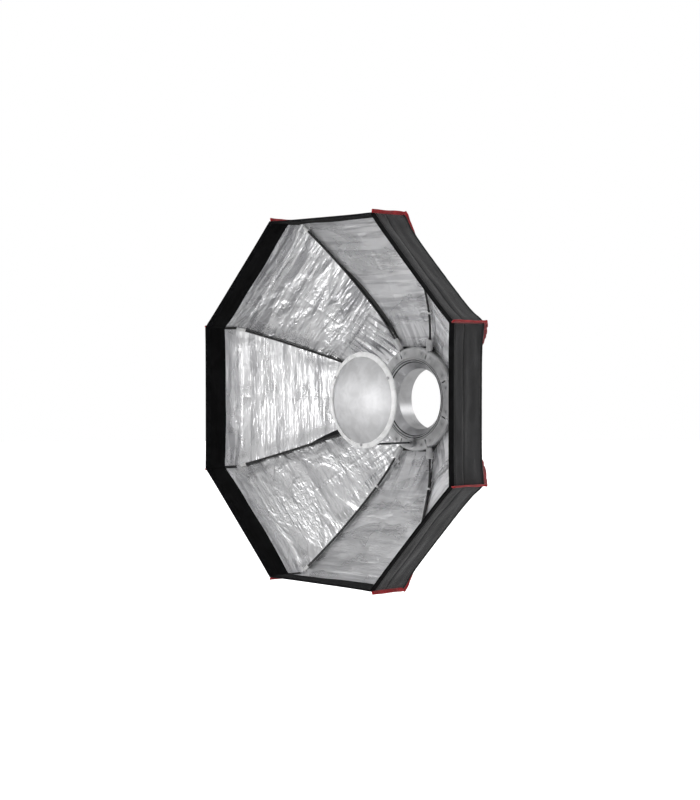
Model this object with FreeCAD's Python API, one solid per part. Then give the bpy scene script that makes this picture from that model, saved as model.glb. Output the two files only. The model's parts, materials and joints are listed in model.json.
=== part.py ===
"""Octagonal soft light shaper with folding ribs, a clamped hub, a rotating lamp adapter and a deflector dish.

Frame: millimetres, the axis of the shaper is Y, the light leaves towards -Y, Z is up.
The origin is on the axis, at the adapter's rear seating face, where a lamp head's mount meets it.
"""

import FreeCAD, Part
import math
import os

V = FreeCAD.Vector

# ---- driving dimensions -------------------------------------------------------------------------
RIBS = 8
PITCH = 360.0 / RIBS                  # angle between two ribs
HALF = PITCH / 2.0                    # from a rib to the middle of its panel
RIM_R = 350.0                         # front rim, corner radius (700 mm corner to corner)
RIM_Y = -286.0                        # front edge of the band
KNEE_Y = -207.0                       # seam between the band and the shell
SEAM_GAP = 0.3                        # room on each side of a sewn line between two moving pieces
BAND_T = 2.0                          # band cloth with its turned-in lip

PIN_R, PIN_Y = 90.0, -44.0            # rib pivot: distance from the axis, and station
PIN_D = 3.0
PIN_LEN = 16.0
ROD_D = 4.0
SOCKET_D = 12.0
SOCKET_START, SOCKET_END = 8.4, 31.5  # along the rib, from the pivot
MOUTH_D, MOUTH_DEPTH = 8.0, 3.0       # recess around the rod in the socket's end
ROD_START = 13.0                      # the rod's butt inside the socket, from the pivot
ROOT_SLOPE = 18.0                     # degrees forward of radial, at the socket
MID_SLOPE = 31.0                      # where the rod's two bends meet
TIP_SLOPE = 43.9                      # at the knee
ROOT_BEND_R, TIP_BEND_R = 300.0, 900.0

SHELL_T = 1.6
SHELL_CLEAR = 3.6                     # from the rod's centre line to the lining
COLLAR_R, COLLAR_Y = 105.5, -39.6     # inner edge of the shell, on its lining side
SHOULDER_R, SHOULDER_Y = 145.0, -57.0
PIPING_H, PIPING_T = 4.0, 2.4

HUB_R = 96.0
HUB_FRONT_Y, HUB_SPLIT_Y, HUB_BACK_Y = -51.0, -44.0, -37.0
HUB_CHAMFER = 3.0
HUB_GROOVE_R, HUB_GROOVE_W, HUB_GROOVE_DEPTH = 75.0, 1.6, 2.0
EDGE = 1.0                            # chamfer where the adapter's face meets the hub's
SLOT_W = 3.2
TAB_W = 2.6
TAB_HEEL, TAB_HEIGHT = 7.0, 3.0       # the tab behind the pivot: reach, and half its height
TAB_FACE_START, TAB_FACE_HEIGHT = -1.0, 6.0
BOSS_R = 4.0
SLOT_FRONT_R, SLOT_BACK_R = 80.0, 78.0
CLAMP_R = 103.0
CLAMP_FRONT_Y, CLAMP_BACK_Y = -34.0, -25.0
SCREW_R, SCREW_OFFSET = 86.0, 12.0    # hub screws: distance from the axis, and to each side of a slot
SCREW_D, SCREW_HEAD_D, SCREW_HEAD_H = 3.0, 5.6, 1.8

FLANGE_R = 72.0                       # 144 mm insert of the adapter
ADAPTER_R = 68.0
BORE_R = 56.6
FUNNEL_R, FUNNEL_END_Y = 70.6, -33.0
SEAT_Y = -8.0                         # front of the seating flange
RUNNING = 0.05                        # radial running clearance
RING_FRONT_Y, RING_BACK_Y = -24.8, -22.8
RING_R, RING_GROOVE_R = 75.0, 66.0
LUGS = 3
LUG_H, LUG_HOOK = 8.0, 3.5
LUG_SEAT = 2.0                        # depth of a lug's pocket in the seating face
LUG_R, LUG_T, LUG_ARC = 69.0, 2.8, 36.0

DISH_Y = -178.0                       # back of the deflector's rim
DISH_R, DISH_INNER_R = 87.0, 78.0
DISH_RISE = 21.0
DISH_T = 1.2
DISH_RIM_H = 3.25                     # crest of the rim ring, in front of the dish's flange
DISH_SCREW_HEAD_D, DISH_NUT_D = 5.4, 5.8
STEM_R, STEM_D = 80.5, 4.0
STEM_ANGLE = 270.0
DISH_SCREW_ANGLES = (270.0, 30.0, 150.0)
KNOB_D, KNOB_H, KNOB_Y = 18.0, 6.0, -60.5

COS = math.cos(math.radians(HALF))
FAR = 500.0


# ---- helpers ------------------------------------------------------------------------------------
def at_angle(shape, degrees):
    """Turn a shape that was built along +X about the axis, towards +Z."""
    turned = shape.copy()
    turned.rotate(V(0, 0, 0), V(0, 1, 0), -degrees)
    return turned


def around(shape, count=RIBS, start=HALF):
    """Copies of a shape built along +X, evenly spaced about the axis."""
    return [at_angle(shape, start + index * 360.0 / count) for index in range(count)]


def disc(radius, y0, y1):
    """A cylinder on the axis, between two stations."""
    return Part.makeCylinder(radius, y1 - y0, V(0, y0, 0), V(0, 1, 0))


def stud(radius, at, y0, y1):
    """A cylinder parallel to the axis, at the point at = (x, z)."""
    return Part.makeCylinder(radius, y1 - y0, V(at[0], y0, at[1]), V(0, 1, 0))


def polar(radius, degrees):
    """The point (x, z) at this distance from the axis and this angle."""
    angle = math.radians(degrees)
    return radius * math.cos(angle), radius * math.sin(angle)


def cut_all(shape, tools):
    """Take a list of tools away from a shape."""
    for tool in tools:
        shape = shape.cut(tool)
    return shape


def turned(points):
    """A solid of revolution about the axis from its half outline of (radius, station) points."""
    corners = [V(r, y, 0) for r, y in points]
    face = Part.Face(Part.makePolygon(corners + corners[:1]))
    return face.revolve(V(0, 0, 0), V(0, 1, 0), 360)


def box_along_rib(start, end, half_height, width):
    """A bar along the rib's root direction: from start to end past the pivot, centred on its line."""
    bar = Part.makeBox(end - start, 2 * half_height, width, V(start, -half_height, -width / 2))
    bar.rotate(V(0, 0, 0), V(0, 0, 1), -ROOT_SLOPE)
    bar.translate(V(PIN_R, PIN_Y, 0))
    return bar


def along_root(distance):
    """The point (radius, station) at this distance past the pivot, on the straight root of the rib."""
    slope = math.radians(ROOT_SLOPE)
    return PIN_R + distance * math.cos(slope), PIN_Y - distance * math.sin(slope)


def root_cylinder(diameter, start, end):
    """A round bar on the straight root of the rib."""
    base = along_root(start)
    slope = math.radians(ROOT_SLOPE)
    direction = V(math.cos(slope), -math.sin(slope), 0)
    return Part.makeCylinder(diameter / 2, end - start, V(base[0], base[1], 0), direction)


def bend_centre(point, slope, radius):
    """The centre of a bend that starts at a point with this slope and turns towards the front."""
    angle = math.radians(slope)
    return point[0] - radius * math.sin(angle), point[1] - radius * math.cos(angle)


def on_bend(centre, radius, slope):
    """The point of a bend where it has this slope."""
    angle = math.radians(slope)
    return centre[0] + radius * math.sin(angle), centre[1] + radius * math.cos(angle)


def beside(point, slope, distance):
    """A point moved out of the reflector, square to a line with this slope."""
    angle = math.radians(slope)
    return point[0] + distance * math.sin(angle), point[1] + distance * math.cos(angle)


SOCKET_EXIT = along_root(SOCKET_END)
ROOT_CENTRE = bend_centre(SOCKET_EXIT, ROOT_SLOPE, ROOT_BEND_R)
BEND_JOIN = on_bend(ROOT_CENTRE, ROOT_BEND_R, MID_SLOPE)
TIP_CENTRE = bend_centre(BEND_JOIN, MID_SLOPE, TIP_BEND_R)
ROD_TIP = on_bend(TIP_CENTRE, TIP_BEND_R, TIP_SLOPE)


def shell_line(depth):
    """Points of the shell's section at a rib, depth behind its lining side, from the hub to the knee."""
    middle = (MID_SLOPE + TIP_SLOPE) / 2
    clear = SHELL_CLEAR + depth
    collar = beside((COLLAR_R, COLLAR_Y), ROOT_SLOPE, depth)
    shoulder = beside((SHOULDER_R, SHOULDER_Y), (ROOT_SLOPE + MID_SLOPE) / 2, depth)
    join = on_bend(TIP_CENTRE, TIP_BEND_R + clear, MID_SLOPE)
    belly = on_bend(TIP_CENTRE, TIP_BEND_R + clear, middle)
    knee = on_bend(TIP_CENTRE, TIP_BEND_R + clear, TIP_SLOPE)
    slope = math.radians(TIP_SLOPE)
    run = (knee[1] - (KNEE_Y + SEAM_GAP)) / math.sin(slope)
    hem = (knee[0] + run * math.cos(slope), KNEE_Y + SEAM_GAP)
    return [collar, shoulder, join, belly, knee, hem]


def shell_edges(points, scale):
    """Two arcs and a short straight edge through the points of shell_line, radii scaled for the plane."""
    at = [V(r * scale, y, 0) for r, y in points]
    return [
        Part.Arc(at[0], at[1], at[2]).toShape(),
        Part.Arc(at[2], at[3], at[4]).toShape(),
        Part.LineSegment(at[4], at[5]).toShape(),
    ]


def strip_face(inner, outer, scale):
    """The section between two shell lines."""
    ends = [
        Part.LineSegment(V(a[0] * scale, a[1], 0), V(b[0] * scale, b[1], 0)).toShape()
        for a, b in ((inner[0], outer[0]), (inner[-1], outer[-1]))
    ]
    edges = shell_edges(inner, scale) + shell_edges(outer, scale) + ends
    return Part.Face(Part.Wire(Part.__sortEdges__(edges)))


def corner_piece(face):
    """Two half panels that meet at a rib's corner, from the section of a panel at its middle line."""
    half = face.extrude(V(0, 0, -FAR))
    half.translate(V(0, 0, -SEAM_GAP / 2))
    rise = -FAR * math.tan(math.radians(HALF))
    corners = [V(0, RIM_Y - 1, 0), V(FAR, RIM_Y - 1, 0), V(FAR, RIM_Y - 1, rise)]
    wedge = Part.Face(Part.makePolygon(corners + corners[:1])).extrude(V(0, FAR, 0))
    half = at_angle(half.common(wedge), HALF)
    other = half.mirror(V(0, 0, 0), V(0, 0, 1))
    return half.fuse(other).removeSplitter()


# ---- rib assembly, built along +X ---------------------------------------------------------------
def make_bracket():
    """Pivoting tab and the socket that takes the rod, in one casting."""
    heel = box_along_rib(-TAB_HEEL, SOCKET_START + 1.0, TAB_HEIGHT, TAB_W)
    face = box_along_rib(TAB_FACE_START, SOCKET_START + 1.0, TAB_FACE_HEIGHT, TAB_W)
    boss = Part.makeCylinder(BOSS_R, TAB_W, V(PIN_R, PIN_Y, -TAB_W / 2))
    socket = root_cylinder(SOCKET_D, SOCKET_START, SOCKET_END)
    rims = [e for e in socket.Edges if e.Curve.TypeId == "Part::GeomCircle"]
    body = heel.fuse([face, boss, socket.makeChamfer(1.0, rims)])
    bore = root_cylinder(ROD_D + 0.1, ROD_START - 0.2, SOCKET_END + 1)
    mouth = root_cylinder(MOUTH_D, SOCKET_END - MOUTH_DEPTH, SOCKET_END + 1)
    eye = Part.makeCylinder(PIN_D / 2 + RUNNING, 2 * TAB_W, V(PIN_R, PIN_Y, -TAB_W))
    return cut_all(body, [bore, mouth, eye]).removeSplitter()


def make_rod():
    """Spring rod: a straight butt in the socket, then two tangent bends out to the knee."""
    start = along_root(ROD_START)
    early = on_bend(ROOT_CENTRE, ROOT_BEND_R, (ROOT_SLOPE + MID_SLOPE) / 2)
    late = on_bend(TIP_CENTRE, TIP_BEND_R, (MID_SLOPE + TIP_SLOPE) / 2)
    butt, mouth, one, join, two, tip = [
        V(r, y, 0) for r, y in (start, SOCKET_EXIT, early, BEND_JOIN, late, ROD_TIP)
    ]
    path = Part.Wire([
        Part.LineSegment(butt, mouth).toShape(),
        Part.Arc(mouth, one, join).toShape(),
        Part.Arc(join, two, tip).toShape(),
    ])
    section = Part.Wire(Part.Circle(butt, mouth - butt, ROD_D / 2).toShape())
    return path.makePipeShell([section], True, False)


def make_tip():
    """Moulded end cap on the rod's tip, with a collar behind it."""
    slope = math.radians(TIP_SLOPE)
    direction = V(math.cos(slope), -math.sin(slope), 0)
    tip = V(ROD_TIP[0], ROD_TIP[1], 0)
    cap = Part.makeCylinder(3.0, 10.0, tip - direction * 9.0, direction)
    cap = cap.makeChamfer(0.8, [e for e in cap.Edges if e.Curve.TypeId == "Part::GeomCircle"])
    collar = Part.makeCylinder(3.4, 1.6, tip - direction * 9.6, direction)
    bore = Part.makeCylinder(ROD_D / 2 + 0.05, 9.8, tip - direction * 9.7, direction)
    return cap.fuse(collar).cut(bore).removeSplitter()


def make_shell():
    """One rib's share of the shell: half a panel on each side, laminated black outside, silver inside."""
    return corner_piece(strip_face(shell_line(0.0), shell_line(SHELL_T), COS))


def make_piping():
    """Upstanding piped seam along the outside of the shell's corner."""
    face = strip_face(shell_line(SHELL_T + 0.05), shell_line(SHELL_T + PIPING_H), 1.0)
    strip = face.extrude(V(0, 0, PIPING_T))
    strip.translate(V(0, 0, -PIPING_T / 2))
    return strip


def make_band():
    """One corner's share of the front band, half a panel to each side, with its piped seam."""
    inner, outer = (RIM_R - BAND_T) * COS, RIM_R * COS
    back = KNEE_Y - SEAM_GAP
    corners = [V(inner, RIM_Y, 0), V(outer, RIM_Y, 0), V(outer, back, 0), V(inner, back, 0)]
    cloth = corner_piece(Part.Face(Part.makePolygon(corners + corners[:1])))
    fin = Part.makeBox(PIPING_H + 1, back - RIM_Y - 4, PIPING_T, V(RIM_R - 1, RIM_Y + 4, -PIPING_T / 2))
    return cloth.fuse(fin).removeSplitter()


# ---- hub ----------------------------------------------------------------------------------------
def rib_slots(inner):
    """Radial slots for the bracket tabs, open at the hub's edge."""
    slot = Part.makeBox(HUB_R - inner + 5, 40, SLOT_W, V(inner, HUB_FRONT_Y - 5, -SLOT_W / 2))
    return around(slot)


def pin_grooves():
    """Seats for the pivot pins, half in each hub plate."""
    groove = Part.makeCylinder(PIN_D / 2 + 0.02, PIN_LEN + 0.4, V(PIN_R, PIN_Y, -PIN_LEN / 2 - 0.2))
    return around(groove)


def screw_places():
    """Centres (x, z) of the hub screws: one each side of every slot."""
    places = []
    for index in range(RIBS):
        for side in (-1, 1):
            spread = math.degrees(math.atan2(side * SCREW_OFFSET, SCREW_R))
            places.append(polar(math.hypot(SCREW_R, SCREW_OFFSET), HALF + index * PITCH + spread))
    return places


def stem_hole(y0, y1):
    """Clearance for the deflector's stem."""
    return stud(STEM_D / 2 + 0.1, polar(STEM_R, STEM_ANGLE), y0, y1)


def make_hub_front_plate():
    """Front plate: annulus with a chamfered edge, slots, pin seats and counterbored screw holes."""
    bore = FLANGE_R + RUNNING
    groove_end, groove_floor = HUB_GROOVE_R + HUB_GROOVE_W, HUB_FRONT_Y + HUB_GROOVE_DEPTH
    plate = turned([
        (bore + EDGE, HUB_FRONT_Y), (HUB_GROOVE_R, HUB_FRONT_Y), (HUB_GROOVE_R, groove_floor),
        (groove_end, groove_floor), (groove_end, HUB_FRONT_Y),
        (HUB_R - HUB_CHAMFER, HUB_FRONT_Y), (HUB_R, HUB_FRONT_Y + HUB_CHAMFER),
        (HUB_R, HUB_SPLIT_Y), (bore, HUB_SPLIT_Y), (bore, HUB_FRONT_Y + EDGE),
    ])
    head_floor = HUB_FRONT_Y + SCREW_HEAD_H + 0.2
    tools = rib_slots(SLOT_FRONT_R) + pin_grooves()
    for place in screw_places():
        tools.append(stud(SCREW_D / 2 + 0.1, place, HUB_FRONT_Y - 1, HUB_SPLIT_Y + 1))
        tools.append(stud(SCREW_HEAD_D / 2 + 0.15, place, HUB_FRONT_Y - 1, head_floor))
    tools.append(stem_hole(HUB_FRONT_Y - 1, HUB_SPLIT_Y + 1))
    return cut_all(plate, tools)


def make_hub_rear_plate():
    """Rear plate: carries the other half of the pin seats, and the adapter's flange turns against it."""
    bore = ADAPTER_R + RUNNING
    plate = turned([(bore, HUB_SPLIT_Y), (HUB_R, HUB_SPLIT_Y), (HUB_R, HUB_BACK_Y), (bore, HUB_BACK_Y)])
    tools = rib_slots(SLOT_BACK_R) + pin_grooves()
    for place in screw_places():
        tools.append(stud(SCREW_D / 2 + 0.1, place, HUB_SPLIT_Y - 1, HUB_BACK_Y + 1))
    tools.append(stem_hole(HUB_SPLIT_Y - 1, HUB_BACK_Y + 1))
    return cut_all(plate, tools)


def make_clamp_ring():
    """Rear collar that clamps the shell's inner edge, spaced off the rear plate by 16 short bosses."""
    bore = ADAPTER_R + RUNNING
    ring = turned([
        (bore, CLAMP_FRONT_Y), (CLAMP_R, CLAMP_FRONT_Y), (CLAMP_R, CLAMP_BACK_Y - 3),
        (CLAMP_R - 3, CLAMP_BACK_Y), (bore, CLAMP_BACK_Y),
    ])
    for place in screw_places():
        ring = ring.fuse(stud(SCREW_D / 2 + 1.6, place, HUB_BACK_Y, CLAMP_FRONT_Y + 0.5))
    tools = [stud(SCREW_D / 2 + 0.02, place, HUB_BACK_Y - 1, CLAMP_BACK_Y - 1) for place in screw_places()]
    return cut_all(ring, tools).removeSplitter()


def make_hub_screws():
    """Countersunk clamping screws, from the front plate into the rear collar."""
    socket_depth = 1.0
    screws = []
    for place in screw_places():
        top = HUB_FRONT_Y + 0.2
        head = stud(SCREW_HEAD_D / 2, place, top, top + SCREW_HEAD_H)
        shank = stud(SCREW_D / 2, place, top, CLAMP_BACK_Y - 1.2)
        drive = stud(1.1, place, top - 1, top + socket_depth)
        screws.append(head.fuse(shank).cut(drive).removeSplitter())
    return Part.makeCompound(screws)


def make_hinge_pins():
    """Pivot pins of the ribs, held between the two hub plates."""
    return Part.makeCompound(around(Part.makeCylinder(PIN_D / 2, PIN_LEN, V(PIN_R, PIN_Y, -PIN_LEN / 2))))


# ---- lamp adapter -------------------------------------------------------------------------------
def make_adapter():
    """Insert with a funnelled mouth, a clear bore and a seating flange, and its three bayonet lugs."""
    body = turned([
        (FUNNEL_R, HUB_FRONT_Y), (FLANGE_R - EDGE, HUB_FRONT_Y), (FLANGE_R, HUB_FRONT_Y + EDGE),
        (FLANGE_R, HUB_SPLIT_Y - RUNNING),
        (ADAPTER_R, HUB_SPLIT_Y - RUNNING), (ADAPTER_R, RING_FRONT_Y - 0.05),
        (RING_GROOVE_R, RING_FRONT_Y - 0.05), (RING_GROOVE_R, RING_BACK_Y + 0.05),
        (ADAPTER_R, RING_BACK_Y + 0.05), (ADAPTER_R, SEAT_Y), (FLANGE_R, SEAT_Y), (FLANGE_R, 0),
        (BORE_R, 0), (BORE_R, FUNNEL_END_Y),
    ])
    wall = turned_arc(LUG_R - LUG_T, LUG_R, -LUG_SEAT, LUG_H, LUG_ARC)
    hook = turned_arc(LUG_R - 1.0, LUG_R + LUG_HOOK, LUG_H - LUG_T, LUG_H, LUG_ARC)
    body = cut_all(body, around(wall, LUGS, 90)).removeSplitter()
    return Part.makeCompound([body] + around(wall.fuse(hook).removeSplitter(), LUGS, 90))


def turned_arc(r0, r1, y0, y1, degrees):
    """A block of a ring between two radii and two stations, centred on +X."""
    corners = [V(r0, y0, 0), V(r1, y0, 0), V(r1, y1, 0), V(r0, y1, 0)]
    face = Part.Face(Part.makePolygon(corners + corners[:1]))
    return at_angle(face.revolve(V(0, 0, 0), V(0, 1, 0), degrees), degrees / 2)


def make_retaining_ring():
    """Snap ring in the adapter's groove, behind the collar, with its gap at the top."""
    inner = RING_GROOVE_R + 0.05
    gap = 14.0
    return at_angle(turned_arc(inner, RING_R, RING_FRONT_Y, RING_BACK_Y, 360 - gap), 270)


# ---- deflector ----------------------------------------------------------------------------------
def make_dome():
    """Deflector dish: a shallow spherical dome that bulges to the front, with a flat mounting flange."""
    def cap(rise, radius, base):
        """A spherical cap on a disc of this radius, standing forward of the station base."""
        ball = (radius * radius + rise * rise) / (2 * rise)
        sphere = Part.makeSphere(ball, V(0, base - rise + ball, 0))
        return sphere.common(disc(FAR, base - rise - 1, base))

    flange = disc(DISH_R - 2.5, DISH_Y - DISH_T, DISH_Y)
    outer = cap(DISH_RISE, DISH_INNER_R, DISH_Y - DISH_T)
    hollow = cap(DISH_RISE - 0.4, DISH_INNER_R - 1.6, DISH_Y)
    holes = [stud(1.6, polar(STEM_R, angle), DISH_Y - 5, DISH_Y + 5) for angle in DISH_SCREW_ANGLES]
    return cut_all(flange.fuse(outer).cut(hollow), holes).removeSplitter()


def make_dish_rim():
    """Rolled trim ring around the dish, in front of its flange and closed over its edge."""
    front = DISH_Y - DISH_T - 0.05
    crest = DISH_Y - DISH_T - DISH_RIM_H
    ring = turned([
        (DISH_INNER_R + 0.2, front), (DISH_INNER_R + 0.2, front - 2.4), (DISH_INNER_R + 1.4, crest),
        (DISH_R - 3.0, front - 1.6), (DISH_R - 0.6, front - 0.4), (DISH_R, front + 0.8),
        (DISH_R, DISH_Y + 1.0), (DISH_R - 1.6, DISH_Y + 1.0), (DISH_R - 1.6, front),
    ])
    holes = [stud(1.6, polar(STEM_R, angle), DISH_Y - 8, DISH_Y + 5) for angle in DISH_SCREW_ANGLES]
    return cut_all(ring, holes)


def make_dish_screws():
    """Rim screws, each with a nut behind the flange, except over the stem, which is tapped."""
    screws = []
    for angle in DISH_SCREW_ANGLES:
        place = polar(STEM_R, angle)
        under = DISH_Y - DISH_T - DISH_RIM_H - 0.1
        head = stud(DISH_SCREW_HEAD_D / 2, place, under - 1.0, under)
        reach = DISH_Y + (0.05 if angle == STEM_ANGLE else 3.0)
        screw = head.fuse(stud(SCREW_D / 2, place, under - 1.0, reach))
        if angle != STEM_ANGLE:
            screw = screw.fuse(stud(DISH_NUT_D / 2, place, DISH_Y + 0.05, reach))
        screws.append(screw.removeSplitter())
    return Part.makeCompound(screws)


def make_stem():
    """Stem that carries the deflector: a threaded rod with a shoulder behind the dish."""
    place = polar(STEM_R, STEM_ANGLE)
    rod = stud(STEM_D / 2, place, DISH_Y + 0.1, HUB_BACK_Y + 1.5)
    return rod.fuse(stud(3.6, place, DISH_Y + 0.1, DISH_Y + 2.6)).removeSplitter()


def make_stem_nuts():
    """Spacer and knurled nut in front of the hub plate, clamped by the stem's thread."""
    place = polar(STEM_R, STEM_ANGLE)
    bore = stud(STEM_D / 2 + 0.05, place, KNOB_Y - 5, HUB_FRONT_Y + 5)
    spacer = stud(6.0, place, KNOB_Y + KNOB_H + 0.05, HUB_FRONT_Y)
    knob = stud(KNOB_D / 2, place, KNOB_Y, KNOB_Y + KNOB_H)
    for index in range(16):
        x, z = polar(KNOB_D / 2 + 0.3, index * 360 / 16)
        knob = knob.cut(stud(0.9, (place[0] + x, place[1] + z), KNOB_Y - 1, KNOB_Y + KNOB_H + 1))
    collar = stud(4.5, place, KNOB_Y - 2.0, KNOB_Y)
    return Part.makeCompound([spacer.cut(bore), knob.fuse(collar).cut(bore).removeSplitter()])


# ---- build and export ---------------------------------------------------------------------------
def build():
    """All sub-parts, by node name."""
    nodes = {
        "hub_front_plate": make_hub_front_plate(),
        "hub_rear_plate": make_hub_rear_plate(),
        "shell_clamp_ring": make_clamp_ring(),
        "hub_screws": make_hub_screws(),
        "hinge_pins": make_hinge_pins(),
        "lamp_adapter": make_adapter(),
        "retaining_ring": make_retaining_ring(),
        "deflector_dome": make_dome(),
        "deflector_rim": make_dish_rim(),
        "deflector_screws": make_dish_screws(),
        "deflector_stem": make_stem(),
        "stem_nuts": make_stem_nuts(),
    }
    rib = {
        "rib_bracket": make_bracket(),
        "rib_rod": make_rod(),
        "rod_tip": make_tip(),
        "shell_gore": make_shell(),
        "corner_piping": make_piping(),
        "band_corner": make_band(),
    }
    for name, shape in rib.items():
        for index, copy in enumerate(around(shape)):
            nodes[f"{name}_{index + 1}"] = copy
    return nodes


os.makedirs("parts", exist_ok=True)
for node, shape in build().items():
    shape.exportStep(f"parts/{node}.step")
    print(f"{node:20s} solids {len(shape.Solids)} valid {shape.isValid()} volume {shape.Volume:.0f}")
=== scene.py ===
"""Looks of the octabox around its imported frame: cloth, lining, band, trim, materials, camera and light."""
import json
import math

import bpy
import numpy as np
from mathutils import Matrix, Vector, noise


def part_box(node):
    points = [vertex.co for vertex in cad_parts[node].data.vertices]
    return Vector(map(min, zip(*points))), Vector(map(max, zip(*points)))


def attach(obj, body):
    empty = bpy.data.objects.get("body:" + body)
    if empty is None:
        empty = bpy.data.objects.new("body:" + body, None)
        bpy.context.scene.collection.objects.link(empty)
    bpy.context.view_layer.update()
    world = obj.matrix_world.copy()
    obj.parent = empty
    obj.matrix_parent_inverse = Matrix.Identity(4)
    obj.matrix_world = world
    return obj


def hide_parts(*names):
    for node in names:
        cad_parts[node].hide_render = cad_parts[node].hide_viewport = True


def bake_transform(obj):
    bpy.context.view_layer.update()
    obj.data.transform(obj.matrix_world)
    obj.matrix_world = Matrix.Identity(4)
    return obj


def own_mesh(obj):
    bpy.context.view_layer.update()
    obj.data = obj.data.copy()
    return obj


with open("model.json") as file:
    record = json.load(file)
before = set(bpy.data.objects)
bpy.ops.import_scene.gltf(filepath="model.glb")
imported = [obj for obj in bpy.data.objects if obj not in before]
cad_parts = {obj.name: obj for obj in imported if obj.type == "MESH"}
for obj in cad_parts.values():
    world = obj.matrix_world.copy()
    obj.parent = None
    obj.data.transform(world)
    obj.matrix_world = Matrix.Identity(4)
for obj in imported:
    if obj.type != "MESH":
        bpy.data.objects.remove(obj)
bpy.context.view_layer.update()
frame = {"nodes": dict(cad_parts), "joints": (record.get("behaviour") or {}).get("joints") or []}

# ---- sizes, in metres and degrees ----
RIBS = 8
HALF = math.radians(180 / RIBS)            # from a rib to the middle of its panel
COS, SIN, TAN = math.cos(HALF), math.sin(HALF), math.tan(HALF)
JOINTS = {joint["name"]: joint for joint in frame["joints"]}
PIVOT = JOINTS["rib_1_fold"]["pos_m"]
KNEE = JOINTS["band_1_fold"]["pos_m"]
PIN_R, PIN_Y = math.hypot(PIVOT[0], PIVOT[2]), PIVOT[1]
KNEE_R, KNEE_Y = math.hypot(KNEE[0], KNEE[2]), KNEE[1]
RIM_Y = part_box("band_corner_1")[0].y       # front edge of the band
RIM_R = KNEE_R + 0.001                     # the band's outside, at a corner
HUB_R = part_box("hub_rear_plate")[1].x
MOUTH_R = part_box("lamp_adapter")[1].x      # where the adapter's front edge meets the hub
HUB_BACK_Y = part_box("hub_rear_plate")[1].y
CLAMP_FRONT_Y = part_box("shell_clamp_ring")[1].y - 0.009

ROOT_SLOPE, MID_SLOPE, TIP_SLOPE = 18.0, 31.0, 43.9      # of a rod, forward of radial
ROOT_BEND_R, TIP_BEND_R = 0.300, 0.900
SOCKET_END = 0.0315                        # along the rib, from its pivot
SHELL_CLEAR = 0.0036                       # from a rod's centre line to the lining
COLLAR = (0.1055, -0.0396)                 # inner edge of the shell: corner radius, station
SHOULDER = (0.145, -0.057)

STRIP_W = 0.0445                           # cloth beside a rib that is cut as a strip of its own
LINING_T, SHELL_T, BAND_T, TAPE_T = 0.0004, 0.0008, 0.0007, 0.0005
LINING_DEPTH, SHELL_DEPTH = -0.0002, 0.0015              # behind the lining side of the CAD shell
LIP_DEPTH = 0.046                          # the lip's inner edge, behind the front edge
BINDING_W = 0.010
SAG = {0: 0.0060, 1: 0.0095, 7: 0.0070}    # of a panel between its rods, where it isn't the usual
USUAL_SAG = 0.0050
KNEE_FILL = 0.0050                         # by which the lining cuts the corner at the knee
CORNER_ROUND = 0.0012                      # of the cloth over a rib
CHORD_SLOPE, GATHER_LEAN = 35.0, 0.2197    # of the cloth between two ribs as they fold
COLLAR_BEND = (0.094, 0.1035)              # radii of two points along each rib, which make_collar works out for its collar
COLLAR_GAP = 0.0014                        # between a collar and the hub's edge
PIPING_H, PIPING_W = 0.0070, 0.0036
TAPE_W = 0.0028                            # from a corner to the edge of its tape
LOOP_R, LOOP_W, LOOP_T = 0.0026, 0.0040, 0.0006
LINING_STEP, SHELL_STEP, BAND_STEP = 0.0030, 0.0048, 0.0034     # between the points of a cloth
BINDING_STEP, LIP_STEP, TAPE_STEP = 0.0009, 0.0045, 0.004
EY = np.array([0.0, 1.0, 0.0])


# ---- directions and lines ----
def rib_angle(rib):
    """Angle of a rib about the axis, from +X towards +Z."""
    place = JOINTS[f"rib_{rib}_fold"]["pos_m"]
    return math.atan2(place[2], place[0])


def radial(angle):
    """Unit vector away from the axis."""
    return np.array([math.cos(angle), 0.0, math.sin(angle)])


def tangent(angle):
    """Unit vector round the axis, the way the angle grows."""
    return np.array([-math.sin(angle), 0.0, math.cos(angle)])


def on_slope(point, slope, forward, outward):
    """A point (radius, station) moved along a line of this slope, and square to it, away from the light."""
    angle = math.radians(slope)
    return (point[0] + forward * math.cos(angle) + outward * math.sin(angle),
            point[1] - forward * math.sin(angle) + outward * math.cos(angle))


def bend_point(centre, radius, slope):
    """The point of a bend where it has this slope."""
    return on_slope(centre, slope, 0.0, radius)


SOCKET_EXIT = on_slope((PIN_R, PIN_Y), ROOT_SLOPE, SOCKET_END, 0.0)
ROOT_CENTRE = on_slope(SOCKET_EXIT, ROOT_SLOPE, 0.0, -ROOT_BEND_R)
BEND_JOIN = bend_point(ROOT_CENTRE, ROOT_BEND_R, MID_SLOPE)
TIP_CENTRE = on_slope(BEND_JOIN, MID_SLOPE, 0.0, -TIP_BEND_R)


def arc(start, middle, end):
    """Points of the arc through three points."""
    (ax, ay), (bx, by), (cx, cy) = start, middle, end
    twice = 2 * (ax * (by - cy) + bx * (cy - ay) + cx * (ay - by))
    a, b, c = ax * ax + ay * ay, bx * bx + by * by, cx * cx + cy * cy
    x = (a * (by - cy) + b * (cy - ay) + c * (ay - by)) / twice
    y = (a * (cx - bx) + b * (ax - cx) + c * (bx - ax)) / twice
    first, last = math.atan2(ay - y, ax - x), math.atan2(cy - y, cx - x)
    angles = np.linspace(first, last, 60)
    radius = math.hypot(ax - x, ay - y)
    return np.stack([x + radius * np.cos(angles), y + radius * np.sin(angles)], 1)


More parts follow.
